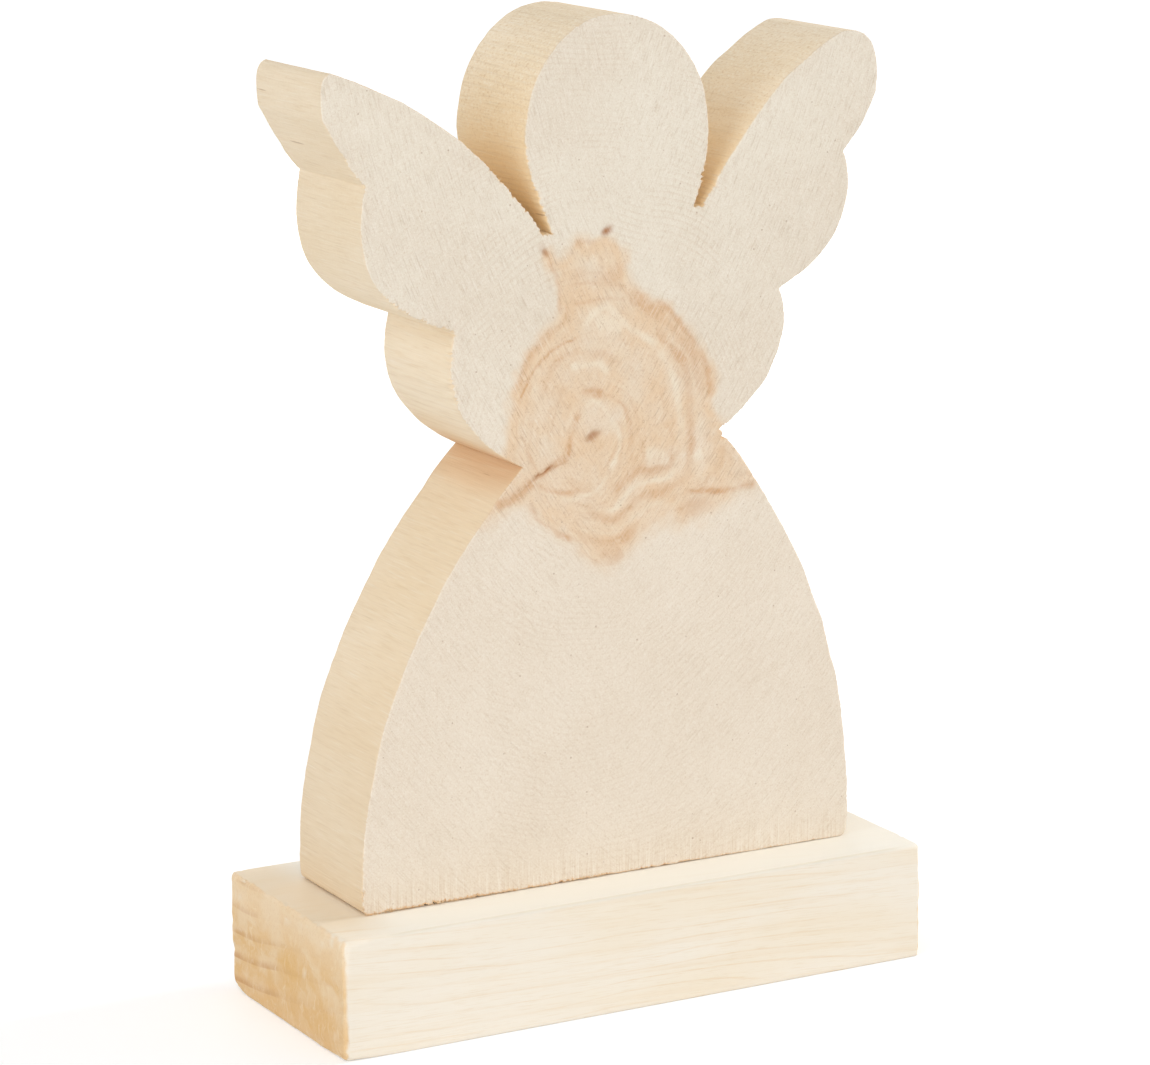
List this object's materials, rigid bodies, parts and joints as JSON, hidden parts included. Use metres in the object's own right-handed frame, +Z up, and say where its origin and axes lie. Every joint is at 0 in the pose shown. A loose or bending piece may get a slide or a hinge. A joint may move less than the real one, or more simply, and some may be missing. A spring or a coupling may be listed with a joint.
{
  "type": "wooden angel figurine",
  "caption": "Angel silhouette sawn from a cross-cut slice of pale log, with scalloped wings and a round head, standing on edge on a rectangular wooden block.",
  "frame": {"origin": "middle of the block's underside, where the figurine stands", "axes": "+Z up towards the crown of the head, -Y out of the angel's front face, +X to the right as seen from the front"},
  "size_m": [0.135, 0.053, 0.2006],
  "materials": {
    "slice_wood": "raw pale end grain with a tan heart stain, sawn and lightly sanded, unvarnished",
    "lath_wood": "planed pale long grain with tan end grain, unvarnished",
    "screw_steel": "bright zinc plate"
  },
  "bodies": {
    "root": {"angel_figure": "slice_wood", "base_block": "lath_wood", "fixing_screw_left": "screw_steel", "fixing_screw_right": "screw_steel"}
  },
  "joints": []
}
